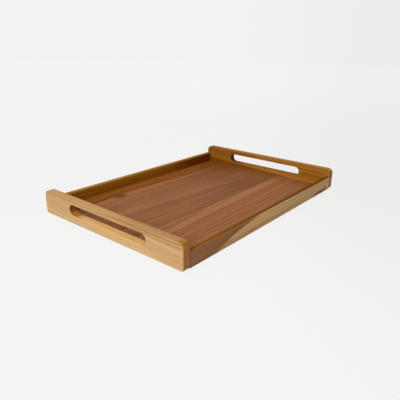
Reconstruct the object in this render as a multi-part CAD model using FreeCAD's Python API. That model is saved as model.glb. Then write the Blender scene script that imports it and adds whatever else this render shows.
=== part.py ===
import FreeCAD, Part
import os

# Rectangular teak serving tray, built the way a joiner builds it. Two tall end boards run the full
# width and carry the hand slots. Two low side rails are butted between them on dowels. The floor is
# three boards glued edge to edge, let into a rebate from below and held by glue and panel pins.
# Millimetres. +X runs along the tray, +Z is up, and the origin is the middle of the footprint on the
# table top.

# Overall
tray_length = 450.0
tray_width = 310.0

# End boards, standing on edge across the tray
end_height = 40.0
end_thickness = 14.0
end_top_corner_radius = 9.0
end_bottom_corner_radius = 4.0
slot_length = 174.0
slot_height = 17.6
slot_bottom_height = 14.0

# Side rails, butted between the end boards
rail_height = 25.0
rail_thickness = 8.0

# Round-over left by the router along every exposed edge, and the finer one round the hand slots
edge_ease = 1.5
slot_ease = 1.0

# Floor
floor_thickness = 4.5
floor_lift = 0.5
floor_rail_lap = 4.0
floor_end_lap = 6.0
floor_side_clearance = 0.4
front_stave_width = 104.0
back_stave_width = 45.0

# Corner dowels
dowel_diameter = 4.0
dowel_glue_gap = 0.05
dowel_depth_in_end = 9.0
dowel_depth_in_rail = 16.0
dowel_end_gap = 0.5

# Panel pins through the floor
pin_diameter = 1.2
pin_head_diameter = 2.4
pin_head_thickness = 0.8
pin_length = 10.0
pin_head_recess = 0.2
pin_hole_clearance = 0.05
pin_spacing = 70.0
pin_corner_distance = 28.0

# Places worked out from the sizes above
half_length = tray_length / 2
half_width = tray_width / 2
end_inner_x = half_length - end_thickness
rail_inner_y = half_width - rail_thickness
floor_top = floor_lift + floor_thickness
rebate_x = end_inner_x + floor_end_lap
rebate_y = rail_inner_y + floor_rail_lap
floor_half_length = rebate_x - floor_side_clearance
floor_half_width = rebate_y - floor_side_clearance
# The two outer staves show their full width inside the rails, and the middle one takes the rest.
front_joint_y = -rail_inner_y + front_stave_width
back_joint_y = rail_inner_y - back_stave_width
slot_middle_z = slot_bottom_height + slot_height / 2
rail_middle_y = half_width - rail_thickness / 2
# The two dowels of a corner split the height between the floor and the rail's top into thirds.
dowel_low_z = floor_top + (rail_height - floor_top) / 3
dowel_high_z = rail_height - (rail_height - floor_top) / 3

# How far a cutter runs past a face, and how close two edges must be to count as one
OVERRUN = 1.0
TINY = 0.001


def box(x0, x1, y0, y1, z0, z1):
    """A box between two opposite corners."""
    return Part.makeBox(x1 - x0, y1 - y0, z1 - z0, FreeCAD.Vector(x0, y0, z0))


def edges_along_x(shape, z):
    """The straight edges that run along X at one height."""
    found = []
    for edge in shape.Edges:
        ends = edge.BoundBox
        is_level = abs(ends.ZMin - z) < TINY and abs(ends.ZMax - z) < TINY
        if is_level and ends.YLength < TINY:
            found.append(edge)
    return found


def edges_across_x(shape, x):
    """Every edge that lies flat in the plane at x."""
    found = []
    for edge in shape.Edges:
        ends = edge.BoundBox
        if abs(ends.XMin - x) < TINY and abs(ends.XMax - x) < TINY:
            found.append(edge)
    return found


def slot_rim(shape, x):
    """The edges round the hand slot in the plane at x."""
    reach = slot_length / 2 + TINY
    low = slot_bottom_height - TINY
    high = slot_bottom_height + slot_height + TINY
    found = []
    for edge in edges_across_x(shape, x):
        ends = edge.BoundBox
        if ends.YMin > -reach and ends.YMax < reach and ends.ZMin > low and ends.ZMax < high:
            found.append(edge)
    return found


def rounded_panel(x0, x1, y0, y1, z0, z1, top_radius, bottom_radius):
    """A board standing across X, with its four corners rounded as seen from its face."""
    board = box(x0, x1, y0, y1, z0, z1)
    board = board.makeFillet(top_radius, edges_along_x(board, z1))
    return board.makeFillet(bottom_radius, edges_along_x(board, z0))


def stadium(x0, x1, length, height, middle_z):
    """A round-ended cutter lying along Y and running through in X."""
    radius = height / 2
    half_straight = length / 2 - radius
    low = middle_z - radius
    high = middle_z + radius
    cutter = box(x0, x1, -half_straight, half_straight, low, high)
    for y in (-half_straight, half_straight):
        centre = FreeCAD.Vector(x0, y, middle_z)
        cutter = cutter.fuse(Part.makeCylinder(radius, x1 - x0, centre, FreeCAD.Vector(1, 0, 0)))
    return cutter.removeSplitter()


def dowel_places():
    """Middle of each rail-end joint and the height of each dowel in it: (side x, side y, z)."""
    places = []
    for side_x in (-1, 1):
        for side_y in (-1, 1):
            for z in (dowel_low_z, dowel_high_z):
                places.append((side_x, side_y, z))
    return places


def dowel(side_x, side_y, z, radius, outer_reach, inner_reach):
    """A cylinder along X across one joint, reaching into the end board and into the rail."""
    ends = sorted([side_x * (end_inner_x + outer_reach), side_x * (end_inner_x - inner_reach)])
    start = FreeCAD.Vector(ends[0], side_y * rail_middle_y, z)
    return Part.makeCylinder(radius, ends[1] - ends[0], start, FreeCAD.Vector(1, 0, 0))


def dowel_holes(side_x=None, side_y=None):
    """The drilled holes that one board needs, both halves of each as one cutter."""
    radius = dowel_diameter / 2 + dowel_glue_gap
    holes = []
    for place_x, place_y, z in dowel_places():
        if side_x in (None, place_x) and side_y in (None, place_y):
            holes.append(dowel(place_x, place_y, z, radius, dowel_depth_in_end, dowel_depth_in_rail))
    return holes


def spread(half_span):
    """Evenly spaced places along one side, about one pin spacing apart."""
    count = max(2, round(2 * half_span / pin_spacing) + 1)
    step = 2 * half_span / (count - 1)
    return [-half_span + step * i for i in range(count)]


def pin_places():
    """Each pin's x and y, midway along the lap that it is driven through."""
    places = []
    lap_x = end_inner_x + floor_end_lap / 2
    lap_y = rail_inner_y + floor_rail_lap / 2
    for x in spread(end_inner_x - pin_corner_distance):
        places.append((x, -lap_y))
        places.append((x, lap_y))
    for y in spread(rail_inner_y - pin_corner_distance):
        places.append((-lap_x, y))
        places.append((lap_x, y))
    return places


def pin(x, y, clearance=0.0):
    """A panel pin standing head down, or the hole for it when a clearance is given."""
    head_bottom = floor_lift + pin_head_recess - (OVERRUN if clearance else 0.0)
    head_top = floor_lift + pin_head_recess + pin_head_thickness
    tip = floor_lift + pin_head_recess + pin_length
    up = FreeCAD.Vector(0, 0, 1)
    head_radius = pin_head_diameter / 2 + clearance
    head = Part.makeCylinder(head_radius, head_top - head_bottom, FreeCAD.Vector(x, y, head_bottom), up)
    shank_radius = pin_diameter / 2 + clearance
    shank = Part.makeCylinder(shank_radius, tip - head_bottom, FreeCAD.Vector(x, y, head_bottom), up)
    return head.fuse(shank).removeSplitter()


def pin_holes():
    return [pin(x, y, pin_hole_clearance) for x, y in pin_places()]


def end_board(side):
    """One handle board. side is -1 for the left end of the tray and +1 for the right."""
    outer_x = side * half_length
    inner_x = side * end_inner_x
    x0, x1 = sorted([outer_x, inner_x])
    blank = rounded_panel(
        x0, x1, -half_width, half_width, 0.0, end_height, end_top_corner_radius, end_bottom_corner_radius
    )
    eased = blank.makeFillet(edge_ease, edges_across_x(blank, outer_x) + edges_across_x(blank, inner_x))
    cutter = stadium(x0 - OVERRUN, x1 + OVERRUN, slot_length, slot_height, slot_middle_z)
    slotted = eased.cut(cutter)
    eased = slotted.makeFillet(slot_ease, slot_rim(slotted, outer_x) + slot_rim(slotted, inner_x))

    # The inner edges stay square where a rail is glued on, so that the joint closes without a groove.
    for side_y in (-1, 1):
        y0, y1 = sorted([side_y * half_width, side_y * rail_inner_y])
        back_x = inner_x + side * (edge_ease + OVERRUN)
        land_x0, land_x1 = sorted([inner_x, back_x])
        land = blank.common(box(land_x0, land_x1, y0, y1, 0.0, rail_height - edge_ease))
        eased = eased.fuse(land)
    eased = eased.removeSplitter()

    # Stopped rebate for the floor, cut up from below.
    rebate_x0, rebate_x1 = sorted([inner_x - side * OVERRUN, side * rebate_x])
    rebate = box(rebate_x0, rebate_x1, -rebate_y, rebate_y, -OVERRUN, floor_top)
    board = eased.cut(rebate)
    return board.cut(dowel_holes(side_x=side) + pin_holes())


def side_rail(side):
    """One low rail. side is -1 for the front and +1 for the back."""
    outer_y = side * half_width
    y0, y1 = sorted([outer_y, side * rail_inner_y])
    blank = box(-end_inner_x, end_inner_x, y0, y1, 0.0, rail_height)
    exposed = edges_along_x(blank, rail_height)
    for edge in edges_along_x(blank, 0.0):
        if abs(edge.BoundBox.YMin - outer_y) < TINY:
            exposed.append(edge)
    eased = blank.makeFillet(edge_ease, exposed)
    rebate_y0, rebate_y1 = sorted([side * (rail_inner_y - OVERRUN), side * rebate_y])
    rebate = box(
        -end_inner_x - OVERRUN, end_inner_x + OVERRUN, rebate_y0, rebate_y1, -OVERRUN, floor_top
    )
    rail = eased.cut(rebate)
    return rail.cut(dowel_holes(side_y=side) + pin_holes())


def floor_stave(y0, y1):
    """One board of the floor, drilled where pins pass through it."""
    board = box(-floor_half_length, floor_half_length, y0, y1, floor_lift, floor_top)
    return board.cut(pin_holes())


def corner_dowels():
    radius = dowel_diameter / 2
    outer_reach = dowel_depth_in_end - dowel_end_gap
    inner_reach = dowel_depth_in_rail - dowel_end_gap
    return [dowel(x, y, z, radius, outer_reach, inner_reach) for x, y, z in dowel_places()]


nodes = {
    "end_board_left": end_board(-1),
    "end_board_right": end_board(1),
    "side_rail_front": side_rail(-1),
    "side_rail_back": side_rail(1),
    "floor_stave_front": floor_stave(-floor_half_width, front_joint_y),
    "floor_stave_middle": floor_stave(front_joint_y, back_joint_y),
    "floor_stave_back": floor_stave(back_joint_y, floor_half_width),
    "corner_dowels": Part.makeCompound(corner_dowels()),
    "floor_pins": Part.makeCompound([pin(x, y) for x, y in pin_places()]),
}

os.makedirs("parts", exist_ok=True)
for name, shape in nodes.items():
    if not shape.isValid():
        raise ValueError(name + " is not a valid shape")
    shape.exportStep("parts/" + name + ".step")
    print(name, len(shape.Solids), "solids", round(shape.Volume / 1000.0, 2), "cm3")
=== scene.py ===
"""Oiled teak serving tray: the looks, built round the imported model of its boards.

Every board keeps the solid that model.glb gives it. What is made here is the timber. Each board gets its
own figure, as a sawmill would leave it: growth rings as surfaces that run through the whole board, so
that its faces, edges and end grain agree, with the sapwood, knots and dark veins of that board laid in.
"""

import math

import bpy
from mathutils import Matrix, Vector


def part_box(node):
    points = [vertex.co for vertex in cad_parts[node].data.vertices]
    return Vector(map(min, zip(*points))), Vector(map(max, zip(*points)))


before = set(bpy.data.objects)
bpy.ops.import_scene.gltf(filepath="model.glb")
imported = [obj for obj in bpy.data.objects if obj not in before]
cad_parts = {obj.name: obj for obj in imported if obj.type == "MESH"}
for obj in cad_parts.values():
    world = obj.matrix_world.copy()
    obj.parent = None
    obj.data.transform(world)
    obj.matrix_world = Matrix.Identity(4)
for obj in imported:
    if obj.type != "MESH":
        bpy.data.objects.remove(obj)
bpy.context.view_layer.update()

bl_info = {
    "name": "Teak Serving Tray",
    "version": (1, 0, 0),
    "blender": (4, 5, 0),
    "location": "3D View > Sidebar > Tray",
    "description": "Dresses the boards of a teak serving tray and sets it on a pale studio floor",
    "category": "Object",
}

MM = 0.001

# Settings that many nodes share. A Map Range takes its value as input 0, the range that this comes from
# as 1 and 2, and the range that it goes to as 3 and 4. A Mix takes the share as 0 and two colours as 6 and 7.
SMOOTH = {"interpolation_type": "SMOOTHSTEP"}
BLEND = {"out": 2, "data_type": "RGBA"}

# The studio, in metres. It dims a little one way, between two bearings toward that way.
PAPER_RADIUS = 6.0
PAPER_DROP = 0.2 * MM
DIM_WAY = (0.64, -0.77, 0.0)
DIMMING = {1: 0.05, 2: 0.45}
KEY_PLACE = (-1.9, -0.6, 1.35)

# The camera: angles in degrees, the place it looks at and its distance from that in metres, the lens in mm
CAMERA_AZIMUTH = -50.54
CAMERA_ELEVATION = 20.43
CAMERA_ROLL = 0.71
CAMERA_TARGET = (-0.0079, -0.0022, 0.0)
CAMERA_DISTANCE = 0.7815
CAMERA_LENS = 38.0


def corners(box):
    """A box as two plain lists of numbers."""
    return [[float(value) for value in corner] for corner in box]


def node_box(node):
    """A node's lowest and highest corners in millimetres."""
    return [[value / MM for value in corner] for corner in corners(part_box(node))]


def linear(colour):
    """An sRGB hex value such as "c08a50" as linear red, green, blue and alpha."""
    channels = []
    for start in (0, 2, 4):
        value = int(colour[start : start + 2], 16) / 255
        channels.append(value / 12.92 if value <= 0.04045 else ((value + 0.055) / 1.055) ** 2.4)
    return (*channels, 1.0)


def colour_property(name, description, colour):
    """A colour that a user can change."""
    return bpy.props.FloatVectorProperty(
        name=name,
        description=description,
        subtype="COLOR",
        size=4,
        min=0.0,
        max=1.0,
        default=linear(colour),
    )


def length_property(name, description, length):
    """A size in metres that a user can change, given here in millimetres."""
    return bpy.props.FloatProperty(
        name=name,
        description=description,
        subtype="DISTANCE",
        unit="LENGTH",
        min=0.0,
        default=length * MM,
    )


class TRAY_PG_finish(bpy.types.PropertyGroup):
    """What all the teak shares"""

    vessel_width: length_property("Vessel Width", "Width that the open vessels are drawn with", 0.55)
    vessel_length: length_property("Vessel Length", "Length of the open vessels along the grain", 9.0)
    fibre_width: length_property("Fibre Width", "Width of the fine streaks along the grain", 1.1)
    fibre_length: length_property("Fibre Length", "Length of the fine streaks along the grain", 80.0)
    ring_width: length_property("Ring Width", "Spacing of the growth rings", 3.2)
    relief: length_property("Relief", "Depth of the open grain under the oil", 0.08)
    roughness: bpy.props.FloatProperty(
        name="Roughness", description="Roughness of the oiled surface", min=0.0, max=1.0, default=0.52
    )
    vessel: colour_property("Vessels", "Tint of the open vessels", "7c5536")
    end_grain: colour_property("End Grain", "Tint that end grain takes from the oil", "d2b49c")


class TRAY_PG_end_boards(bpy.types.PropertyGroup):
    """Colours of the two handle boards"""

    pale: colour_property("Pale", "Pale timber of the outer faces", "d3a977")
    cream: colour_property("Cream", "Lightest streaks of the outer faces", "d2a976")
    honey: colour_property("Honey", "Honey streaks and the upper edges", "d2a166")
    vein: colour_property("Vein", "Brown veins of the outer faces", "b48859")
    slot: colour_property("Slot", "Freshly cut timber inside the handle slots", "e8b874")
    golden: colour_property("Golden", "Golden heartwood of the inner faces", "a0681a")
    # Amber and Umber also colour painted shade: the back ends of the two slots, and the far board's inner
    # face toward the back rail.
    amber: colour_property("Amber", "Lighter streaks of the inner faces", "ad762c")
    umber: colour_property("Umber", "Dark veins of the inner faces", "844a08")


class TRAY_PG_side_rails(bpy.types.PropertyGroup):
    """Colours of the two side rails"""

    sapwood: colour_property("Sapwood", "Greyish tan sapwood of the outer faces", "d6ab72")
    grey: colour_property("Grey Sapwood", "Greyer sapwood toward the right-hand end", "c6a074")
    heartwood: colour_property("Heartwood", "Brown heartwood where the sapwood runs out", "a27044")
    golden: colour_property("Golden", "Golden heartwood of the tops and inner faces", "92580c")
    amber: colour_property("Amber", "Lighter golden streaks", "9c6814")
    # Umber also carries the painted shade at the right-hand end of the back rail.
    umber: colour_property("Umber", "Dark reddish heartwood of the inner faces", "6a2c04")
    patch: colour_property("Patch", "Reddish patch low on the front rail", "9e6236")
    crown: colour_property("Crown", "Lighter golden upper edge of the back rail", "ae7828")


class TRAY_PG_floor(bpy.types.PropertyGroup):
    """Colours of the three boards of the floor"""

    red: colour_property("Red", "Reddish brown of the front board", "aa6b44")
    tan: colour_property("Tan", "Light tan strip of the front board", "b4784c")
    brown: colour_property("Brown", "Greyish brown of the middle board", "a46c46")
    taupe: colour_property("Taupe", "Darker bands of the middle board", "905a38")
    golden: colour_property("Golden", "Golden brown of the back board", "9e5e24")
    orange: colour_property("Orange", "Light orange strip of the back board", "b06e40")
    # Umber paints shade into the back right corner and the middle board's right-hand end, and draws one grain
    # line of the back board; Ends is painted shade along the boards' right-hand ends.
    umber: colour_property("Umber", "Dark golden corner of the boards", "7c4818")
    ends: colour_property("Ends", "Golden brown of the boards' right-hand ends", "8e5622")
    vein: colour_property("Vein", "Dark veins and knots", "5e3418")


class TRAY_PG_fixings(bpy.types.PropertyGroup):
    """Colours of the dowels and the pins"""

    beech: colour_property("Beech", "Pale beech of the dowels", "c99f72")
    fleck: colour_property("Fleck", "Brown ray flecks in the beech", "a5764a")
    zinc: colour_property("Zinc", "Zinc plating of the pins", "b9bbbd")
    tarnish: colour_property("Tarnish", "Dull patches of the plating", "8f9296")


class TRAY_PG_stage(bpy.types.PropertyGroup):
    """The floor and the lights"""

    paper: colour_property("Paper", "Colour of the studio floor and the air behind it", "f2f2f1")
    key_width: length_property("Key Width", "Width of the key softbox", 1600.0)
    key_height: length_property("Key Height", "Height of the key softbox", 1200.0)
    key_power: bpy.props.FloatProperty(
        name="Key Power", description="Power of the key softbox", subtype="POWER", unit="POWER", default=36.0
    )


def add(tree, kind, inputs=None, out=0, **settings):
    """Adds one node, sets its properties, fills or links its inputs and returns one output, if any."""
    made = tree.nodes.new(kind)
    for name, value in settings.items():
        setattr(made, name, value)
    for socket, value in (inputs or {}).items():
        if isinstance(value, bpy.types.NodeSocket):
            tree.links.new(value, made.inputs[socket])
        else:
            made.inputs[socket].default_value = value
    return None if out is None else made.outputs[out]


def empty_tree(owner):
    """Switches on the nodes of a new material or world and clears them."""
    owner.use_nodes = True
    owner.node_tree.nodes.clear()
    return owner.node_tree


def dress(node, name):
    """Gives a solid a new material, and returns its empty tree and any point's place in millimetres."""
    material = bpy.data.materials.new(name)
    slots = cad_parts[node].data.materials
    slots.clear()
    slots.append(material)
    tree = empty_tree(material)
    at = add(tree, "ShaderNodeTexCoord", out="Object")
    point = add(tree, "ShaderNodeVectorMath", {0: at, "Scale": 1 / MM}, operation="SCALE")
    return tree, point


def streaks(tree, point, grain, length, width, seed, detail=2.0):
    """Seeded streaks of about this length along the grain and this width across it, in millimetres."""
    if grain == "X":
        size = (1 / length, 1 / width, 1 / width)
    else:
        size = (1 / width, 1 / length, 1 / width)
    stretched = add(tree, "ShaderNodeVectorMath", {0: point, 1: size}, operation="MULTIPLY")
    return add(
        tree,
        "ShaderNodeTexNoise",
        {"Vector": stretched, "W": seed, "Scale": 1.0, "Detail": detail, "Roughness": 0.55},
        noise_dimensions="4D",
    )


def ring_at(log, place):
    """How far a place is from the pith of a log, which is given by its pith's place and its stretch."""
    centre, stretch = log
    return math.sqrt(sum(((p - c) * s) ** 2 for p, c, s in zip(place, centre, stretch)))


def rings(tree, point, grain, log, sway, seed):
    """How far every point is from the log's pith, on rings that sway along the grain."""
    centre, stretch = log
    offset = add(tree, "ShaderNodeVectorMath", {0: point, 1: centre}, operation="SUBTRACT")
    squeezed = add(tree, "ShaderNodeVectorMath", {0: offset, 1: stretch}, operation="MULTIPLY")
    distance = add(tree, "ShaderNodeVectorMath", {0: squeezed}, out="Value", operation="LENGTH")
    wander = streaks(tree, point, grain, length=150.0, width=28.0, seed=seed, detail=1.0)
    wander = add(tree, "ShaderNodeMath", {0: wander, 1: 0.5}, operation="SUBTRACT")
    return add(tree, "ShaderNodeMath", {0: wander, 1: sway, 2: distance}, operation="MULTIPLY_ADD")


def bands(tree, distance, log, places):
    """Timber colours laid ring by ring: each is given at a place that its ring runs through."""
    stops = sorted(((ring_at(log, place), colour) for place, colour in places), key=lambda stop: stop[0])
    first, last = stops[0][0], stops[-1][0]
    share = add(tree, "ShaderNodeMapRange", {0: distance, 1: first, 2: last})
    ramp = add(tree, "ShaderNodeValToRGB", {0: share})
    elements = ramp.node.color_ramp.elements
    elements[0].position, elements[0].color = 0.0, stops[0][1]
    elements[1].position, elements[1].color = 1.0, stops[-1][1]
    for ring, colour in stops[1:-1]:
        elements.new((ring - first) / (last - first)).color = colour
    return ramp


def thread(tree, along, across, path, width, fade):
    """1 on a line through a path of (along, across) places, in millimetres, that fades out at its ends."""
    first, last = path[0][0], path[-1][0]
    low = min(place[1] for place in path) - 1.0
    high = max(place[1] for place in path) + 1.0
    share = add(tree, "ShaderNodeMapRange", {0: along, 1: first, 2: last})
    curve = add(tree, "ShaderNodeFloatCurve", {"Value": share})
    mapping = curve.node.mapping
    knots = mapping.curves[0].points
    knots[0].location = (0.0, (path[0][1] - low) / (high - low))
    knots[1].location = (1.0, (path[-1][1] - low) / (high - low))
    for place in path[1:-1]:
        knots.new((place[0] - first) / (last - first), (place[1] - low) / (high - low))
    mapping.update()
    middle = add(tree, "ShaderNodeMapRange", {0: curve, 3: low, 4: high})
    off_line = add(tree, "ShaderNodeMath", {0: across, 1: middle}, operation="SUBTRACT")
    off_line = add(tree, "ShaderNodeMath", {0: off_line}, operation="ABSOLUTE")
    line = add(tree, "ShaderNodeMapRange", {0: off_line, 1: width, 2: 0.0}, **SMOOTH)
    start = add(tree, "ShaderNodeMapRange", {0: along, 1: first, 2: first + fade}, **SMOOTH)
    end = add(tree, "ShaderNodeMapRange", {0: along, 1: last, 2: last - fade}, **SMOOTH)
    ends = add(tree, "ShaderNodeMath", {0: start, 1: end}, operation="MULTIPLY")
    return add(tree, "ShaderNodeMath", {0: line, 1: ends}, operation="MULTIPLY")


def drawn(tree, along, across, colour, lines):
    """Draws lines of other wood on a colour: each has its path, half width, fade, strength and colour."""
    for path, width, fade, strength, tint in lines:
        mask = thread(tree, along, across, path, width, fade)
        mask = add(tree, "ShaderNodeMath", {0: mask, 1: strength}, operation="MULTIPLY")
        colour = add(tree, "ShaderNodeMix", {0: mask, 6: colour, 7: tint}, **BLEND)
    return colour


def spot(tree, point, centre, size, edge=0.5):
    """An oval mark in the timber: 1 inside, fading to 0 at its edge. Centre and size are millimetres."""
    offset = add(tree, "ShaderNodeVectorMath", {0: point, 1: centre}, operation="SUBTRACT")
    inverse = [1 / value for value in size]
    scaled = add(tree, "ShaderNodeVectorMath", {0: offset, 1: inverse}, operation="MULTIPLY")
    reach = add(tree, "ShaderNodeVectorMath", {0: scaled}, out="Value", operation="LENGTH")
    return add(tree, "ShaderNodeMapRange", {0: reach, 1: 1.0, 2: 1.0 - edge}, **SMOOTH)


def shade(colour, amount):
    """A colour made lighter or darker by an amount around 1."""
    return (*(channel * amount for channel in colour[:3]), 1.0)


def mixed(first, second, share):
    """Two colours mixed, with this share of the second."""
    return (*(a * (1 - share) + b * share for a, b in zip(first[:3], second[:3])), 1.0)


def growth_lines(tree, look, point, grain, distance, seed):
    """Tone of the rings: thick and thin by turns, each darker at its late wood, fading in and out."""
    ring_width = look.ring_width / MM
    counted = add(tree, "ShaderNodeMath", {0: distance, 1: ring_width}, operation="DIVIDE")
    fading = streaks(tree, point, grain, length=220.0, width=30.0, seed=seed, detail=1.0)
    place = add(tree, "ShaderNodeCombineXYZ", {0: counted, 1: fading})
    return add(
        tree,
        "ShaderNodeTexNoise",
        {"Vector": place, "W": seed, "Scale": 1.0, "Detail": 3.0, "Roughness": 0.6},
        noise_dimensions="4D",
    )


def oil(tree, look, point, grain, distance, colour, seed, contrast=1.0):
    """Adds the grain and the oil that all the teak shares, and ends the material."""
    lines = growth_lines(tree, look, point, grain, distance, seed + 1.0)
    line_span = {1: 0.3, 2: 0.7, 3: 1.0 - 0.16 * contrast, 4: 1.0 + 0.12 * contrast}
    line_tone = add(tree, "ShaderNodeMapRange", {0: lines, **line_span}, **SMOOTH)
    # Fibres: fine streaks that break the growth lines up.
    fibres = streaks(tree, point, grain, look.fibre_length / MM, look.fibre_width / MM, seed + 2.0, 3.0)
    fibre_span = {1: 0.25, 2: 0.75, 3: 1.0 - 0.14 * contrast, 4: 1.0 + 0.12 * contrast}
    fibre_tone = add(tree, "ShaderNodeMapRange", {0: fibres, **fibre_span}, **SMOOTH)
    # Broad drifts of tone, where the oil went in unevenly.
    drifts = streaks(tree, point, grain, length=170.0, width=24.0, seed=seed + 3.0)
    drift_tone = add(tree, "ShaderNodeMapRange", {0: drifts, 1: 0.3, 2: 0.7, 3: 0.95, 4: 1.05}, **SMOOTH)
    tone = add(tree, "ShaderNodeMath", {0: line_tone, 1: fibre_tone}, operation="MULTIPLY")
    tone = add(tree, "ShaderNodeMath", {0: tone, 1: drift_tone}, operation="MULTIPLY")
    toned = add(tree, "ShaderNodeVectorMath", {0: colour, "Scale": tone}, operation="SCALE")
    # Vessels: open pores 0.3 mm across in teak, drawn wider so that they show.
    vessels = streaks(tree, point, grain, look.vessel_length / MM, look.vessel_width / MM, seed + 4.0, 1.0)
    vessel_mask = add(tree, "ShaderNodeMapRange", {0: vessels, 1: 0.62, 2: 0.74, 4: 0.4}, **SMOOTH)
    pored = add(
        tree, "ShaderNodeMix", {0: vessel_mask, 6: toned, 7: look.vessel}, **BLEND, blend_type="MULTIPLY"
    )
    # End grain drinks more oil and goes darker.
    normal = add(tree, "ShaderNodeNewGeometry", out="Normal")
    run = (1, 0, 0) if grain == "X" else (0, 1, 0)
    facing = add(
        tree, "ShaderNodeVectorMath", {0: normal, 1: run}, out="Value", operation="DOT_PRODUCT"
    )
    facing = add(tree, "ShaderNodeMath", {0: facing}, operation="ABSOLUTE")
    end_mask = add(tree, "ShaderNodeMapRange", {0: facing, 1: 0.45, 2: 0.95}, **SMOOTH)
    final = add(
        tree, "ShaderNodeMix", {0: end_mask, 6: pored, 7: look.end_grain}, **BLEND, blend_type="MULTIPLY"
    )
    height = add(tree, "ShaderNodeMath", {0: vessel_mask, 1: -0.8, 2: fibres}, operation="MULTIPLY_ADD")
    bump = add(tree, "ShaderNodeBump", {"Strength": 0.3, "Distance": look.relief, "Height": height})
    rough_span = {1: 0.3, 2: 0.7, 3: look.roughness - 0.05, 4: look.roughness + 0.06}
    rough = add(tree, "ShaderNodeMapRange", {0: fibres, **rough_span}, **SMOOTH)
    shader = add(
        tree,
        "ShaderNodeBsdfPrincipled",
        {
            "Base Color": final,
            "Roughness": rough,
            "Normal": bump,
            "IOR": 1.5,
            "Metallic": 0.0,
            "Specular IOR Level": 0.08,
        },
    )
    add(tree, "ShaderNodeOutputMaterial", {"Surface": shader}, out=None)


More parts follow.
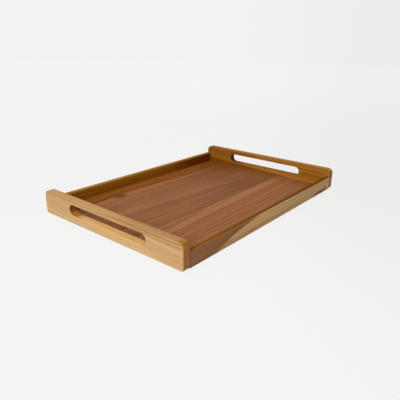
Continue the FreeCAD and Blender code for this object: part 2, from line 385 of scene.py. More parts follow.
class TRAY_OT_end_boards(bpy.types.Operator):
    """Dress the two handle boards"""

    bl_idname = "tray.end_boards"
    bl_label = "End Boards"

    def execute(self, context):
        look, wood = context.scene.tray_finish, context.scene.tray_end_boards
        self.left(look, wood)
        self.right(look, wood)
        return {"FINISHED"}

    def left(self, look, wood):
        """Pale outer timber with dark veins under its top edge, golden within."""
        low, high = node_box("end_board_left")
        outer, inner, top = low[0], high[0], high[2]
        # Oiled teak, planed and sanded: matt and warm, with soft grain lines that bow along the board.
        tree, point = dress("end_board_left", "oiled_teak_pale")
        log = ((outer - 77, 450, top - 129), (1.0, 0.1, 1.0))
        distance = rings(tree, point, "Y", log, sway=1.5, seed=3.0)
        places = [
            ((outer, 0, -6), wood.pale),
            ((outer, 0, 8), wood.cream),
            ((outer, 0, 18), mixed(wood.pale, wood.vein, 0.08)),
            ((outer, 0, 25), wood.pale),
            ((outer, 0, 33), mixed(wood.pale, wood.vein, 0.15)),
            ((outer + 1, 0, top), mixed(wood.honey, wood.vein, 0.3)),
            ((outer + 4, 0, top), wood.honey),
            ((outer + 9, 0, top), wood.honey),
            ((inner - 1, 0, top), mixed(wood.honey, wood.vein, 0.7)),
        ]
        body = bands(tree, distance, log, places)
        parts = add(tree, "ShaderNodeSeparateXYZ", {0: point}).node.outputs
        # The veins rise through the board: a line on the outer face carries on over the top edge.
        inward = add(tree, "ShaderNodeMath", {0: parts[0], 1: outer}, operation="SUBTRACT")
        rise = add(tree, "ShaderNodeMath", {0: inward, 1: -4.0, 2: parts[2]}, operation="MULTIPLY_ADD")
        brown = shade(wood.vein, 0.62)
        rust = mixed(wood.vein, wood.slot, 0.4)
        lines = [
            ([(-170, 35.5), (-60, 36.5), (40, 37.0), (170, 39.0)], 4.2, 10, 0.8, wood.vein),
            ([(-200, 34.2), (-90, 35.2)], 1.2, 40, 0.5, wood.cream),
            ([(-200, 36.6), (-100, 37.4), (-40, 38.2), (10, 39.0)], 1.4, 45, 0.85, brown),
            ([(-200, 31.6), (-110, 32.5), (-70, 33.5), (-30, 34.5)], 1.2, 40, 0.85, brown),
            ([(-170, 29.6), (-90, 30.6)], 1.8, 30, 0.5, wood.vein),
            ([(-175, 10.2), (-120, 10.8), (-70, 13.0)], 1.3, 30, 0.9, rust),
            ([(-170, 18.5), (-85, 17.0)], 1.8, 25, 0.45, wood.vein),
            ([(-170, 5.0), (-90, 5.5)], 4.0, 25, 0.25, wood.vein),
            ([(85, 22.0), (175, 22.5)], 1.2, 25, 0.5, rust),
            ([(-85, 12.6), (90, 12.0)], 1.0, 20, 0.6, wood.slot),
        ]
        body = drawn(tree, parts[1], rise, body, lines)
        # An amber patch on the top edge, by the front corner.
        patch = spot(tree, point, (outer + 7, -158, top), (14, 20, 7), edge=0.6)
        body = add(tree, "ShaderNodeMix", {0: patch, 6: body, 7: wood.amber}, **BLEND)
        # The slot is freshly cut, with painted shade darkening it toward its back end.
        cut = self.slot(tree, point, low, high)
        painted_slot_shade = add(tree, "ShaderNodeMapRange", {0: parts[1], 1: 58.0, 2: 78.0}, **SMOOTH)
        slot_tone_and_shade = add(tree, "ShaderNodeMix", {0: painted_slot_shade, 6: wood.slot, 7: shade(wood.amber, 1.1)}, **BLEND)
        body = add(tree, "ShaderNodeMix", {0: cut, 6: body, 7: slot_tone_and_shade}, **BLEND)
        # Heartwood comes in just under the inner face.
        heart = add(tree, "ShaderNodeMapRange", {0: parts[0], 1: inner - 2.2, 2: inner - 0.6}, **SMOOTH)
        colour = add(tree, "ShaderNodeMix", {0: heart, 6: body, 7: wood.golden}, **BLEND)
        oil(tree, look, point, "Y", distance, colour, seed=20.0, contrast=0.75)

    def right(self, look, wood):
        """Pale outside like its pair, with a golden inner face that dark veins cross."""
        low, high = node_box("end_board_right")
        outer, inner, top = high[0], low[0], high[2]
        # The same oiled teak, cut nearer the heart: golden, with darker and sharper grain lines.
        tree, point = dress("end_board_right", "oiled_teak_golden")
        log = ((inner - 60, 700, top - 138), (1.0, 0.1, 1.0))
        distance = rings(tree, point, "Y", log, sway=2.0, seed=5.0)
        parts = add(tree, "ShaderNodeSeparateXYZ", {0: point}).node.outputs
        places = [
            ((outer, 0, -4), wood.pale),
            ((outer, 0, 14), wood.cream),
            ((outer, 0, 24), wood.pale),
            ((outer, 0, top), mixed(wood.pale, wood.vein, 0.6)),
        ]
        body = bands(tree, distance, log, places)
        crown = add(tree, "ShaderNodeMapRange", {0: parts[2], 1: top - 3, 2: top - 0.5}, **SMOOTH)
        crown_colour = mixed(wood.honey, wood.golden, 0.45)
        body = add(tree, "ShaderNodeMix", {0: crown, 6: body, 7: crown_colour}, **BLEND)
        # The cut is amber, with painted shade darkening it toward its back end.
        cut = self.slot(tree, point, low, high)
        painted_slot_shade = add(tree, "ShaderNodeMapRange", {0: parts[1], 1: 50.0, 2: 80.0}, **SMOOTH)
        slot_tone_and_shade = add(tree, "ShaderNodeMix", {0: painted_slot_shade, 6: wood.amber, 7: shade(wood.umber, 0.5)}, **BLEND)
        body = add(tree, "ShaderNodeMix", {0: cut, 6: body, 7: slot_tone_and_shade}, **BLEND)
        places = [
            ((inner, 0, 2), wood.umber),
            ((inner, 0, 6), mixed(wood.golden, wood.umber, 0.3)),
            ((inner, 0, 11), shade(wood.amber, 1.05)),
            ((inner, 0, 19), mixed(wood.golden, wood.umber, 0.2)),
            ((inner, 0, 27), wood.golden),
            ((inner, 0, 33), wood.golden),
            ((inner, 0, 37), wood.amber),
            ((inner + 4, 0, top), wood.golden),
        ]
        heart_colour = bands(tree, distance, log, places)
        # Painted shade: the inner face darkens toward the corner with the back rail.
        corner_shade_span = {1: -60.0, 2: 110.0, 4: 0.55}
        painted_corner_shade = add(tree, "ShaderNodeMapRange", {0: parts[1], **corner_shade_span}, **SMOOTH)
        heart_colour = add(tree, "ShaderNodeMix", {0: painted_corner_shade, 6: heart_colour, 7: wood.umber}, **BLEND)
        dark = shade(wood.umber, 0.62)
        lines = [
            ([(-170, 29.0), (-110, 30.0), (-60, 32.5), (0, 36.5)], 2.4, 50, 0.7, dark),
            ([(-170, 17.0), (-120, 20.0), (-80, 22.0)], 2.4, 25, 0.55, dark),
            ([(-170, 25.5), (-95, 26.5)], 1.0, 25, 0.4, dark),
            ([(-80, 5.5), (-20, 6.5), (60, 8.0), (160, 9.5)], 1.6, 40, 0.7, dark),
            ([(10, 36.0), (70, 35.5), (110, 37.5)], 1.6, 20, 0.7, dark),
        ]
        heart_colour = drawn(tree, parts[1], parts[2], heart_colour, lines)
        heart = add(tree, "ShaderNodeMapRange", {0: parts[0], 1: inner + 2.4, 2: inner + 0.8}, **SMOOTH)
        colour = add(tree, "ShaderNodeMix", {0: heart, 6: body, 7: heart_colour}, **BLEND)
        oil(tree, look, point, "Y", distance, colour, seed=24.0)

    def slot(self, tree, point, low, high):
        """1 inside the thickness of the board at the height of its slot, where the cut is fresher."""
        parts = add(tree, "ShaderNodeSeparateXYZ", {0: point}).node.outputs
        slot_end, skin, top = 90.0, 1.5, high[2]
        middle = (low[0] + high[0]) / 2
        half = (high[0] - low[0]) / 2
        off_middle = add(tree, "ShaderNodeMath", {0: parts[0], 1: middle}, operation="SUBTRACT")
        off_middle = add(tree, "ShaderNodeMath", {0: off_middle}, operation="ABSOLUTE")
        within = add(tree, "ShaderNodeMapRange", {0: off_middle, 1: half, 2: half - skin}, **SMOOTH)
        off_centre = add(tree, "ShaderNodeMath", {0: parts[1]}, operation="ABSOLUTE")
        reach = add(tree, "ShaderNodeMapRange", {0: off_centre, 1: slot_end + 5, 2: slot_end}, **SMOOTH)
        height = add(tree, "ShaderNodeMapRange", {0: parts[2], 1: top - 3, 2: top - 5}, **SMOOTH)
        inside = add(tree, "ShaderNodeMath", {0: within, 1: reach}, operation="MULTIPLY")
        return add(tree, "ShaderNodeMath", {0: inside, 1: height}, operation="MULTIPLY")


class TRAY_OT_side_rails(bpy.types.Operator):
    """Dress the two side rails"""

    bl_idname = "tray.side_rails"
    bl_label = "Side Rails"

    def execute(self, context):
        look, wood = context.scene.tray_finish, context.scene.tray_side_rails
        self.front(look, wood)
        self.back(look, wood)
        return {"FINISHED"}

    def front(self, look, wood):
        """A skin of sapwood that runs out on a slant near the left end, over golden heartwood."""
        low, _ = node_box("side_rail_front")
        outer = low[1]
        # Oiled teak sapwood: greyer and paler than the heart, with faint straight lines.
        tree, point = dress("side_rail_front", "oiled_teak_sapwood")
        log = ((-900, outer + 40, -170), (0.05, 0.8, 1.0))
        distance = rings(tree, point, "X", log, sway=1.6, seed=7.0)
        places = [
            ((0, outer, -4), mixed(wood.sapwood, wood.heartwood, 0.6)),
            ((0, outer, 3), mixed(wood.sapwood, wood.heartwood, 0.4)),
            ((0, outer, 8), mixed(wood.sapwood, wood.heartwood, 0.18)),
            ((0, outer, 12), wood.sapwood),
            ((0, outer, 15), mixed(wood.sapwood, wood.heartwood, 0.12)),
            ((0, outer, 20), wood.sapwood),
            ((0, outer, 28), wood.sapwood),
        ]
        sap = bands(tree, distance, log, places)
        parts = add(tree, "ShaderNodeSeparateXYZ", {0: point}).node.outputs
        greying = add(tree, "ShaderNodeMapRange", {0: parts[0], 1: 20.0, 2: 210.0}, **SMOOTH)
        sap = add(tree, "ShaderNodeMix", {0: greying, 6: sap, 7: wood.grey}, **BLEND)
        # A reddish patch low at the right-hand end, with two flecks of bark in it.
        patch = spot(tree, point, (170, outer, 1), (44, 8, 10))
        sap = add(tree, "ShaderNodeMix", {0: patch, 6: sap, 7: wood.patch}, **BLEND)
        bark = shade(wood.patch, 0.42)
        for place, size in (
            ((194, outer, 9.5), (5, 4, 4)),
            ((175, outer, 3), (6, 4, 4)),
        ):
            mark = spot(tree, point, place, size, edge=0.7)
            sap = add(tree, "ShaderNodeMix", {0: mark, 6: sap, 7: bark}, **BLEND)
        places = [
            ((-150, outer, -2), shade(wood.heartwood, 0.85)),
            ((-150, outer, 8), wood.heartwood),
            ((-150, outer, 14), shade(wood.heartwood, 0.88)),
            ((-150, outer, 24), shade(wood.heartwood, 1.05)),
        ]
        heart_tone = bands(tree, distance, log, places)
        # The sapwood runs out along a curve that leans over to the right as it rises.
        foot, bend = -153.0, 0.125
        lean = add(tree, "ShaderNodeMath", {0: parts[2], 1: bend, 2: 1.0}, operation="MULTIPLY_ADD")
        lean = add(tree, "ShaderNodeMath", {0: parts[2], 1: lean, 2: foot}, operation="MULTIPLY_ADD")
        past = add(tree, "ShaderNodeMath", {0: parts[0], 1: lean}, operation="SUBTRACT")
        wander = streaks(tree, point, "X", length=40.0, width=9.0, seed=12.0)
        past = add(tree, "ShaderNodeMath", {0: wander, 1: 24.0, 2: past}, operation="MULTIPLY_ADD")
        on_face = add(tree, "ShaderNodeMapRange", {0: past, 1: 4.0, 2: 22.0}, **SMOOTH)
        outside = add(tree, "ShaderNodeMix", {0: on_face, 6: heart_tone, 7: sap}, **BLEND)
        dark = shade(wood.heartwood, 0.55)
        lines = [
            ([(-210, 3.0), (-165, 8.0), (-130, 16.0), (-100, 20.5), (-70, 24.0)], 3.6, 30, 0.55, dark),
            ([(-105, 3.0), (-50, 6.0), (40, 7.5), (140, 8.5)], 2.4, 40, 0.5, wood.amber),
            ([(-20, 15.0), (80, 14.0), (205, 14.5)], 1.2, 40, 0.3, wood.heartwood),
        ]
        outside = drawn(tree, parts[0], parts[2], outside, lines)
        # The top edge and the inner face are golden, deeper to the right and lighter at the left end.
        deeper = add(tree, "ShaderNodeMapRange", {0: parts[0], 1: -200.0, 2: 200.0}, **SMOOTH)
        golden = shade(mixed(wood.golden, wood.umber, 0.2), 0.88)
        darker = shade(mixed(wood.golden, wood.umber, 0.45), 0.86)
        golden = add(tree, "ShaderNodeMix", {0: deeper, 6: golden, 7: darker}, **BLEND)
        amber = add(tree, "ShaderNodeMapRange", {0: parts[0], 1: -100.0, 2: -200.0, 4: 0.6}, **SMOOTH)
        golden = add(tree, "ShaderNodeMix", {0: amber, 6: golden, 7: wood.amber}, **BLEND)
        # The sapwood is a skin on the outer face.
        skin = add(tree, "ShaderNodeMapRange", {0: parts[1], 1: outer + 0.7, 2: outer + 0.4}, **SMOOTH)
        colour = add(tree, "ShaderNodeMix", {0: skin, 6: golden, 7: outside}, **BLEND)
        oil(tree, look, point, "X", distance, colour, seed=30.0)

    def back(self, look, wood):
        """Golden heartwood that turns a dark reddish brown toward the right-hand end, partly painted shade
        from the corner with the far board.
        """
        low, high = node_box("side_rail_back")
        outer, inner, top = high[1], low[1], high[2]
        # Oiled teak heartwood: the deepest colour on the tray, with a lighter upper edge.
        tree, point = dress("side_rail_back", "oiled_teak_heartwood")
        log = ((900, inner - 40, -170), (0.05, 0.8, 1.0))
        distance = rings(tree, point, "X", log, sway=2.0, seed=9.0)
        places = [
            ((0, inner, 0), shade(wood.golden, 0.9)),
            ((0, inner, 8), wood.golden),
            ((0, inner, 14), shade(wood.golden, 0.95)),
            ((0, inner, 18), mixed(wood.golden, wood.amber, 0.7)),
            ((0, inner, 24), wood.amber),
        ]
        heart = bands(tree, distance, log, places)
        parts = add(tree, "ShaderNodeSeparateXYZ", {0: point}).node.outputs
        # Darker toward the right-hand end: dark heartwood, with painted shade toward the corner with the far
        # board.
        heart_and_corner_shade = add(tree, "ShaderNodeMapRange", {0: parts[0], 1: 20.0, 2: 170.0}, **SMOOTH)
        heart = add(tree, "ShaderNodeMix", {0: heart_and_corner_shade, 6: heart, 7: wood.umber}, **BLEND)
        lines = [
            ([(-215, 21.0), (-150, 17.5), (-90, 16.0), (0, 15.0)], 1.6, 40, 0.5, wood.umber),
            ([(-150, 8.0), (-40, 9.5), (80, 8.0)], 1.6, 40, 0.45, wood.umber),
            ([(60, 19.0), (130, 17.5), (215, 16.5)], 1.8, 30, 0.5, shade(wood.umber, 1.5)),
        ]
        heart = drawn(tree, parts[0], parts[2], heart, lines)
        crown = add(tree, "ShaderNodeMapRange", {0: parts[2], 1: top - 2.6, 2: top - 1.2}, **SMOOTH)
        heart = add(tree, "ShaderNodeMix", {0: crown, 6: heart, 7: wood.crown}, **BLEND)
        skin = add(tree, "ShaderNodeMapRange", {0: parts[1], 1: outer - 0.8, 2: outer - 0.4}, **SMOOTH)
        colour = add(tree, "ShaderNodeMix", {0: skin, 6: heart, 7: wood.sapwood}, **BLEND)
        oil(tree, look, point, "X", distance, colour, seed=34.0)


class TRAY_OT_floor(bpy.types.Operator):
    """Dress the three boards of the floor"""

    bl_idname = "tray.floor"
    bl_label = "Floor Boards"

    def execute(self, context):
        look, wood = context.scene.tray_finish, context.scene.tray_floor
        self.front(look, wood)
        self.middle(look, wood)
        self.back(look, wood)
        return {"FINISHED"}

    def front(self, look, wood):
        """Reddish, with a light tan strip at its joint and straight dark lines."""
        _, high = node_box("floor_stave_front")
        up = high[2]
        # Quarter-sawn oiled teak: straight lines close together.
        tree, point = dress("floor_stave_front", "oiled_teak_red")
        log = ((1500, -1050, up - 300), (0.145, 1.0, 1.0))
        distance = rings(tree, point, "X", log, sway=1.2, seed=40.0)
        places = [
            ((0, -150, up), wood.red),
            ((0, -126, up), shade(wood.red, 0.92)),
            ((0, -117, up), wood.red),
            ((0, -108, up), shade(wood.red, 1.05)),
            ((0, -104, up), shade(wood.red, 0.9)),
            ((0, -99, up), mixed(wood.red, wood.tan, 0.4)),
            ((0, -92, up), shade(wood.red, 0.95)),
            ((0, -86, up), mixed(wood.red, wood.tan, 0.4)),
            ((0, -79, up), wood.red),
            ((0, -68, up), wood.red),
            ((0, -62, up), mixed(wood.red, wood.tan, 0.7)),
            ((0, -52, up), shade(wood.tan, 1.02)),
            ((0, -38, up), wood.tan),
        ]
        body = bands(tree, distance, log, places)
        parts = add(tree, "ShaderNodeSeparateXYZ", {0: point}).node.outputs
        dark = shade(wood.red, 0.45)
        brown = shade(wood.brown, 0.9)
        # The one dark line that runs the whole length, and a brown vein that ends at the joint.
        ridge = [(-235, -86.0), (-152, -84.0), (-79, -81.6), (-5, -79.5), (83, -75.7), (235, -71.0)]
        vein = [(-235, -58.5), (-152, -55.0), (-100, -51.0), (-60, -48.0), (-46, -42.5)]
        lines = [
            (ridge, 1.8, 5, 0.85, dark),
            ([(-60, -74.0), (60, -69.0), (150, -66.0), (235, -63.0)], 3.0, 60, 0.3, dark),
            ([(-240, -50.0), (-150, -48.5), (-90, -46.0), (-55, -42.0)], 5.0, 20, 0.8, brown),
            ([(-235, -106.0), (-100, -104.0), (20, -99.0), (120, -96.0)], 1.6, 60, 0.5, dark),
            ([(-235, -95.0), (-60, -91.0), (60, -88.0), (235, -84.0)], 1.3, 60, 0.4, dark),
            ([(-180, -113.0), (-20, -111.0), (120, -108.0), (235, -104.0)], 1.6, 60, 0.35, dark),
            ([(-60, -121.0), (80, -117.0), (235, -114.0)], 1.5, 60, 0.35, dark),
            ([(-235, -72.0), (-100, -71.0), (-20, -71.0)], 1.6, 60, 0.35, dark),
            ([(-150, -133.0), (30, -130.0), (200, -128.0)], 1.6, 60, 0.35, dark),
            (vein, 1.0, 25, 0.85, wood.vein),
        ]
        body = drawn(tree, parts[0], parts[1], body, lines)
        colour = self.ends(tree, point, body, wood)
        oil(tree, look, point, "X", distance, colour, seed=40.0, contrast=1.3)

    def middle(self, look, wood):
        """Greyish brown, with faint bands that fall away to the right."""
        _, high = node_box("floor_stave_middle")
        up = high[2]
        # Flat-sawn oiled teak: broad soft bands that bow.
        tree, point = dress("floor_stave_middle", "oiled_teak_brown")
        log = ((-423, -300, up - 60), (0.257, 1.0, 1.0))
        distance = rings(tree, point, "X", log, sway=2.0, seed=50.0)
        # Each band is placed where it crosses the board near its left end.
        start = -150
        places = [
            ((start, -60, up), mixed(wood.brown, wood.taupe, 0.8)),
            ((start, -30, up), mixed(wood.brown, wood.taupe, 0.5)),
            ((start, -15, up), mixed(wood.brown, wood.taupe, 0.3)),
            ((start, 0, up), mixed(wood.brown, wood.taupe, 0.5)),
            ((start, 12, up), wood.brown),
            ((start, 24, up), mixed(wood.brown, wood.taupe, 0.5)),
            ((start, 36, up), shade(wood.brown, 1.06)),
            ((start, 52, up), wood.brown),
            ((start, 66, up), mixed(wood.brown, wood.taupe, 0.25)),
            ((start, 90, up), wood.brown),
            ((start, 125, up), mixed(wood.brown, wood.taupe, 0.3)),
            ((start, 160, up), wood.brown),
        ]
        body = bands(tree, distance, log, places)
        parts = add(tree, "ShaderNodeSeparateXYZ", {0: point}).node.outputs
        dark = shade(wood.taupe, 0.55)
        light = shade(wood.brown, 1.3)
        # The two longest lines fall away to the right, one past the other.
        upper = [(-130, 16.0), (-35, 10.0), (39, 3.0), (68, -6.0), (112, -13.0), (175, -22.0)]
        lower = [(-235, -1.0), (-152, -6.0), (-99, -13.0), (-64, -22.0), (9, -36.0), (68, -40.0)]
        lines = [
            (upper, 2.6, 60, 0.5, dark),
            (lower, 2.2, 50, 0.5, dark),
            ([(-235, -13.0), (-152, -19.0), (-79, -32.0), (-30, -42.0)], 2.2, 30, 0.45, dark),
            ([(-170, 25.0), (-90, 23.0), (-20, 17.0)], 2.0, 60, 0.3, dark),
            ([(60, 10.0), (110, 1.0), (175, -8.0)], 2.2, 30, 0.35, dark),
            ([(70, 34.0), (120, 24.0), (200, 8.0)], 5.0, 30, 0.35, dark),
            ([(-60, -25.0), (10, -29.0), (80, -33.0)], 3.0, 40, 0.3, dark),
            ([(-10, 34.0), (39, 25.0), (83, 15.0), (190, -6.0)], 1.6, 30, 0.35, light),
            ([(-200, 36.0), (-80, 35.0), (0, 28.0)], 2.2, 60, 0.3, light),
            ([(-140, 62.0), (-20, 60.0), (60, 52.0), (150, 38.0)], 3.0, 60, 0.25, light),
        ]
        body = drawn(tree, parts[0], parts[1], body, lines)
        # Painted shade: the board darkens toward its right-hand end, where the far board shades it.
        dimmer = add(tree, "ShaderNodeMapRange", {0: parts[0], 1: 20.0, 2: 130.0, 4: 0.36}, **SMOOTH)
        body = add(tree, "ShaderNodeMix", {0: dimmer, 6: body, 7: wood.umber}, **BLEND)
        colour = self.ends(tree, point, body, wood)
        oil(tree, look, point, "X", distance, colour, seed=50.0, contrast=1.1)

    def back(self, look, wood):
        """Golden, with an orange strip at its joint and a knot that the grain bows round."""
        _, high = node_box("floor_stave_back")
        up = high[2]
        # Oiled teak from beside a knot: the lines arch over it.
        tree, point = dress("floor_stave_back", "oiled_teak_amber")
        log = ((0, -900, up - 120), (0.02, 1.0, 1.0))
        distance = rings(tree, point, "X", log, sway=1.2, seed=60.0)
        # The rings bow out round the knot.
        swell = spot(tree, point, (-76, 112, up), (150, 75, 40), edge=1.0)
        bowed = add(tree, "ShaderNodeMath", {0: swell, 1: -13.0, 2: distance}, operation="MULTIPLY_ADD")
        places = [
            ((0, 80, up), wood.orange),
            ((0, 106, up), wood.orange),
            ((0, 109, up), mixed(wood.orange, wood.golden, 0.4)),
            ((0, 112, up), wood.golden),
            ((0, 120, up), shade(wood.golden, 0.95)),
            ((0, 128, up), wood.golden),
            ((0, 150, up), shade(wood.golden, 0.92)),
        ]
        body = bands(tree, bowed, log, places)
        parts = add(tree, "ShaderNodeSeparateXYZ", {0: point}).node.outputs
        # A dark line arches over the knot.
        arch = [
            (-235, 116.0), (-152, 118.0), (-138, 120.0), (-114, 122.0), (-76, 124.5), (-47, 123.0),
            (0, 118.5), (53, 113.0), (111, 110.5), (235, 108.0),
        ]
        lines = [
            (arch, 2.6, 10, 0.8, wood.vein),
            ([(-235, 131.0), (-120, 132.0), (0, 130.0), (160, 126.0)], 2.2, 60, 0.3, wood.umber),
            ([(-235, 103.5), (0, 103.5), (235, 103.0)], 2.0, 10, 0.3, wood.vein),
        ]
        body = drawn(tree, parts[0], parts[1], body, lines)
        # The knot, its heart, and the dark streak that runs into it.
        for place, size, edge, strength in (
            ((-101, 114, up), (22, 15, 12), 1.0, 0.8),
            ((-97, 111, up), (9, 7, 12), 0.9, 0.7),
            ((-128, 120.5, up), (24, 4, 12), 1.0, 0.7),
        ):
            smudge = spot(tree, point, place, size, edge)
            smudge = add(tree, "ShaderNodeMath", {0: smudge, 1: strength}, operation="MULTIPLY")
            body = add(tree, "ShaderNodeMix", {0: smudge, 6: body, 7: wood.vein}, **BLEND)
        colour = self.ends(tree, point, body, wood)
        # A pale line follows the joint with the middle board, over the painted shade at the ends too.
        seam = [(-235, 105.0), (0, 104.6), (235, 104.4)]
        colour = drawn(tree, parts[0], parts[1], colour, [(seam, 1.8, 10, 0.55, shade(wood.orange, 1.15))])
        oil(tree, look, point, "X", distance, colour, seed=60.0)

    def ends(self, tree, point, colour, wood):
        """Paints shade on the boards: darker toward the back right corner, under the back rail and the far
        board, and golden brown along their right-hand ends by the far board.
        """
        # Painted shade in the back right corner, under the back rail and the far board.
        corner = spot(tree, point, (222, 112, 5), (118, 84, 60), edge=0.8)
        colour = add(tree, "ShaderNodeMix", {0: corner, 6: colour, 7: wood.umber}, **BLEND)
        # Painted shade along the right-hand ends, by the far board.
        parts = add(tree, "ShaderNodeSeparateXYZ", {0: point}).node.outputs
        far_end_shade = add(tree, "ShaderNodeMapRange", {0: parts[0], 1: 155.0, 2: 212.0, 4: 0.6}, **SMOOTH)
        return add(tree, "ShaderNodeMix", {0: far_end_shade, 6: colour, 7: wood.ends}, **BLEND)


class TRAY_OT_fixings(bpy.types.Operator):
    """Dress the dowels and the floor pins"""

    bl_idname = "tray.fixings"
    bl_label = "Fixings"

    def execute(self, context):
        look, wood = context.scene.tray_finish, context.scene.tray_fixings
        self.dowels(look, wood)
        self.pins(look, wood)
        return {"FINISHED"}

    def dowels(self, look, wood):
        """Pale turned dowels, hidden in the corner joints."""
        # Turned beech: pale and close-grained, flecked with short brown rays along its length.
        tree, point = dress("corner_dowels", "turned_beech")
        flecks = streaks(tree, point, "X", length=2.5, width=0.35, seed=70.0, detail=1.0)
        flecked = add(tree, "ShaderNodeMapRange", {0: flecks, 1: 0.55, 2: 0.7}, **SMOOTH)
        colour = add(tree, "ShaderNodeMix", {0: flecked, 6: wood.beech, 7: wood.fleck}, **BLEND)
        grain = streaks(tree, point, "X", length=12.0, width=0.5, seed=72.0)
        tone = add(tree, "ShaderNodeMapRange", {0: grain, 1: 0.3, 2: 0.7, 3: 0.92, 4: 1.05}, **SMOOTH)
        colour = add(tree, "ShaderNodeVectorMath", {0: colour, "Scale": tone}, operation="SCALE")
        bump = add(tree, "ShaderNodeBump", {"Strength": 0.2, "Distance": look.relief, "Height": grain})
        shader = add(
            tree,
            "ShaderNodeBsdfPrincipled",
            {"Base Color": colour, "Normal": bump, "Roughness": 0.6, "IOR": 1.5, "Specular IOR Level": 0.2},
        )
        add(tree, "ShaderNodeOutputMaterial", {"Surface": shader}, out=None)

    def pins(self, look, wood):
        """Dull silver pins, their heads showing underneath."""
        # Zinc-plated steel: a dull silver, cloudy from handling, with fine scuffs on the heads.
        tree, point = dress("floor_pins", "zinc_plated_steel")
        clouds = streaks(tree, point, "X", length=1.2, width=1.2, seed=74.0, detail=3.0)
        dulled = add(tree, "ShaderNodeMapRange", {0: clouds, 1: 0.4, 2: 0.65}, **SMOOTH)
        colour = add(tree, "ShaderNodeMix", {0: dulled, 6: wood.zinc, 7: wood.tarnish}, **BLEND)
        scuffs = streaks(tree, point, "X", length=1.5, width=0.12, seed=76.0, detail=1.0)
        bump = add(tree, "ShaderNodeBump", {"Strength": 0.2, "Distance": look.relief / 4, "Height": scuffs})
        rough = add(tree, "ShaderNodeMapRange", {0: clouds, 1: 0.3, 2: 0.7, 3: 0.32, 4: 0.5}, **SMOOTH)
        shader = add(
            tree,
            "ShaderNodeBsdfPrincipled",
            {"Base Color": colour, "Normal": bump, "Metallic": 1.0, "Roughness": rough},
        )
        add(tree, "ShaderNodeOutputMaterial", {"Surface": shader}, out=None)


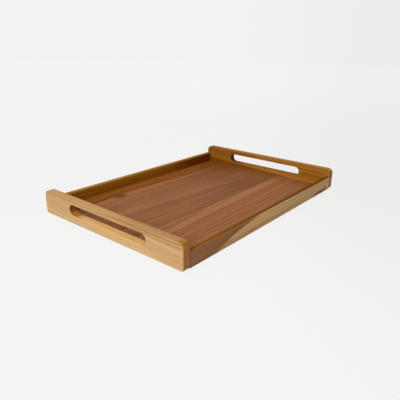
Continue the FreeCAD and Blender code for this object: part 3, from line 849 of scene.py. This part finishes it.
class TRAY_OT_stage(bpy.types.Operator):
    """Set the pale floor, the soft lights and the camera"""

    bl_idname = "tray.stage"
    bl_label = "Stage"

    def execute(self, context):
        scene = context.scene
        scene.view_settings.view_transform = "Standard"
        self.paper(scene.tray_stage)
        self.air(scene, scene.tray_stage)
        self.key_light(scene, scene.tray_stage)
        self.camera(scene)
        return {"FINISHED"}

    def paper(self, look):
        """The pale floor, a hair below the tray, and clear from below to leave the underside in view."""
        below = (0.0, 0.0, -PAPER_DROP)
        bpy.ops.mesh.primitive_circle_add(vertices=96, radius=PAPER_RADIUS, fill_type="NGON", location=below)
        floor = bpy.context.active_object
        floor.name = "studio_floor"
        # Matt white paper: no highlight, and so even that it shows no horizon against the air.
        material = bpy.data.materials.new("matt_white_paper")
        tree = empty_tree(material)
        at = add(tree, "ShaderNodeTexCoord", out="Object")
        bearing = self.bearing(tree, at, 0.45)
        glow = add(tree, "ShaderNodeMapRange", {0: bearing, **DIMMING, 3: 0.916, 4: 0.87}, **SMOOTH)
        # It gains with distance what the key light loses there.
        reach = add(tree, "ShaderNodeVectorMath", {0: at}, out="Value", operation="LENGTH")
        lift = add(tree, "ShaderNodeMapRange", {0: reach, 1: 0.2, 2: 2.5, 4: 0.038}, **SMOOTH)
        glow = add(tree, "ShaderNodeMath", {0: glow, 1: lift}, operation="ADD")
        # It lights the tray less brightly than it looks, which keeps the timber deep.
        seen = add(tree, "ShaderNodeLightPath", out="Is Camera Ray")
        glow = add(tree, "ShaderNodeMapRange", {0: seen, 3: 0.4, 4: glow})
        glow = add(tree, "ShaderNodeEmission", {"Color": look.paper, "Strength": glow})
        lit = add(tree, "ShaderNodeBsdfDiffuse", {"Color": (0.1, 0.1, 0.1, 1.0)})
        front = add(tree, "ShaderNodeAddShader", {0: glow, 1: lit})
        clear = add(tree, "ShaderNodeBsdfTransparent")
        behind = add(tree, "ShaderNodeNewGeometry", out="Backfacing")
        sheet = add(tree, "ShaderNodeMixShader", {0: behind, 1: front, 2: clear})
        add(tree, "ShaderNodeOutputMaterial", {"Surface": sheet}, out=None)
        floor.data.materials.append(material)

    def air(self, scene, look):
        """The pale air, which lights the tray most from the key light's side."""
        scene.world = bpy.data.worlds.new("studio_air")
        tree = empty_tree(scene.world)
        direction = add(tree, "ShaderNodeTexCoord", out="Generated")
        key_side = {0: direction, 1: (-0.9, -0.3, 0.3)}
        toward_key = add(tree, "ShaderNodeVectorMath", key_side, out="Value", operation="DOT_PRODUCT")
        soft = add(tree, "ShaderNodeMapRange", {0: toward_key, 1: -1.0, 3: 0.28, 4: 0.72}, **SMOOTH)
        light = add(tree, "ShaderNodeBackground", {"Color": look.paper, "Strength": soft})
        bearing = self.bearing(tree, direction, 0.0)
        glow = add(tree, "ShaderNodeMapRange", {0: bearing, **DIMMING, 3: 1.0, 4: 0.945}, **SMOOTH)
        backdrop = add(tree, "ShaderNodeBackground", {"Color": look.paper, "Strength": glow})
        seen = add(tree, "ShaderNodeLightPath", out="Is Camera Ray")
        both = add(tree, "ShaderNodeMixShader", {0: seen, 1: light, 2: backdrop})
        add(tree, "ShaderNodeOutputWorld", {"Surface": both}, out=None)

    def bearing(self, tree, place, start):
        """How far a place lies the way the studio dims, as a share of its distance and a start."""
        dimmer = {0: place, 1: DIM_WAY}
        dimmer = add(tree, "ShaderNodeVectorMath", dimmer, out="Value", operation="DOT_PRODUCT")
        reach = add(tree, "ShaderNodeVectorMath", {0: place}, out="Value", operation="LENGTH")
        reach = add(tree, "ShaderNodeMath", {0: reach, 1: start}, operation="ADD")
        return add(tree, "ShaderNodeMath", {0: dimmer, 1: reach}, operation="DIVIDE")

    def key_light(self, scene, look):
        """One large softbox, beyond the near board and above it."""
        light = bpy.data.lights.new("key_softbox", "AREA")
        light.shape = "RECTANGLE"
        light.size, light.size_y = look.key_width, look.key_height
        light.energy = look.key_power
        key = bpy.data.objects.new("key_softbox", light)
        key.location = KEY_PLACE
        key.rotation_mode = "QUATERNION"
        key.rotation_quaternion = (-key.location).to_track_quat("-Z", "Y")
        scene.collection.objects.link(key)

    def camera(self, scene):
        """The camera, low over the corner where the near board meets the front rail."""
        azimuth, elevation = math.radians(CAMERA_AZIMUTH), math.radians(CAMERA_ELEVATION)
        level = math.cos(elevation)
        back = Vector((math.sin(azimuth) * level, -math.cos(azimuth) * level, math.sin(elevation)))
        data = bpy.data.cameras.new("camera")
        data.sensor_width = 36.0
        data.lens = CAMERA_LENS
        camera = bpy.data.objects.new("camera", data)
        camera.location = Vector(CAMERA_TARGET) + back * CAMERA_DISTANCE
        camera.rotation_mode = "QUATERNION"
        aim = (-back).to_track_quat("-Z", "Y")
        roll = Matrix.Rotation(math.radians(CAMERA_ROLL), 4, "Z").to_quaternion()
        camera.rotation_quaternion = aim @ roll
        scene.collection.objects.link(camera)
        scene.camera = camera


class TRAY_PT_panel(bpy.types.Panel):
    """Lists the tray's operators in the sidebar"""

    bl_idname = "TRAY_PT_panel"
    bl_label = "Teak Serving Tray"
    bl_space_type = "VIEW_3D"
    bl_region_type = "UI"
    bl_category = "Tray"

    def draw(self, context):
        for step in STEPS:
            self.layout.operator(step.bl_idname)


GROUPS = {
    "tray_finish": TRAY_PG_finish,
    "tray_end_boards": TRAY_PG_end_boards,
    "tray_side_rails": TRAY_PG_side_rails,
    "tray_floor": TRAY_PG_floor,
    "tray_fixings": TRAY_PG_fixings,
    "tray_stage": TRAY_PG_stage,
}
STEPS = (
    TRAY_OT_end_boards,
    TRAY_OT_side_rails,
    TRAY_OT_floor,
    TRAY_OT_fixings,
    TRAY_OT_stage,
)
CLASSES = (*GROUPS.values(), *STEPS, TRAY_PT_panel)


def register():
    for made in CLASSES:
        bpy.utils.register_class(made)
    for name, group in GROUPS.items():
        setattr(bpy.types.Scene, name, bpy.props.PointerProperty(type=group))


def unregister():
    for name in GROUPS:
        delattr(bpy.types.Scene, name)
    for made in reversed(CLASSES):
        bpy.utils.unregister_class(made)


def main():
    register()
    bpy.ops.tray.end_boards()
    bpy.ops.tray.side_rails()
    bpy.ops.tray.floor()
    bpy.ops.tray.fixings()
    bpy.ops.tray.stage()


if __name__ == "__main__":
    main()
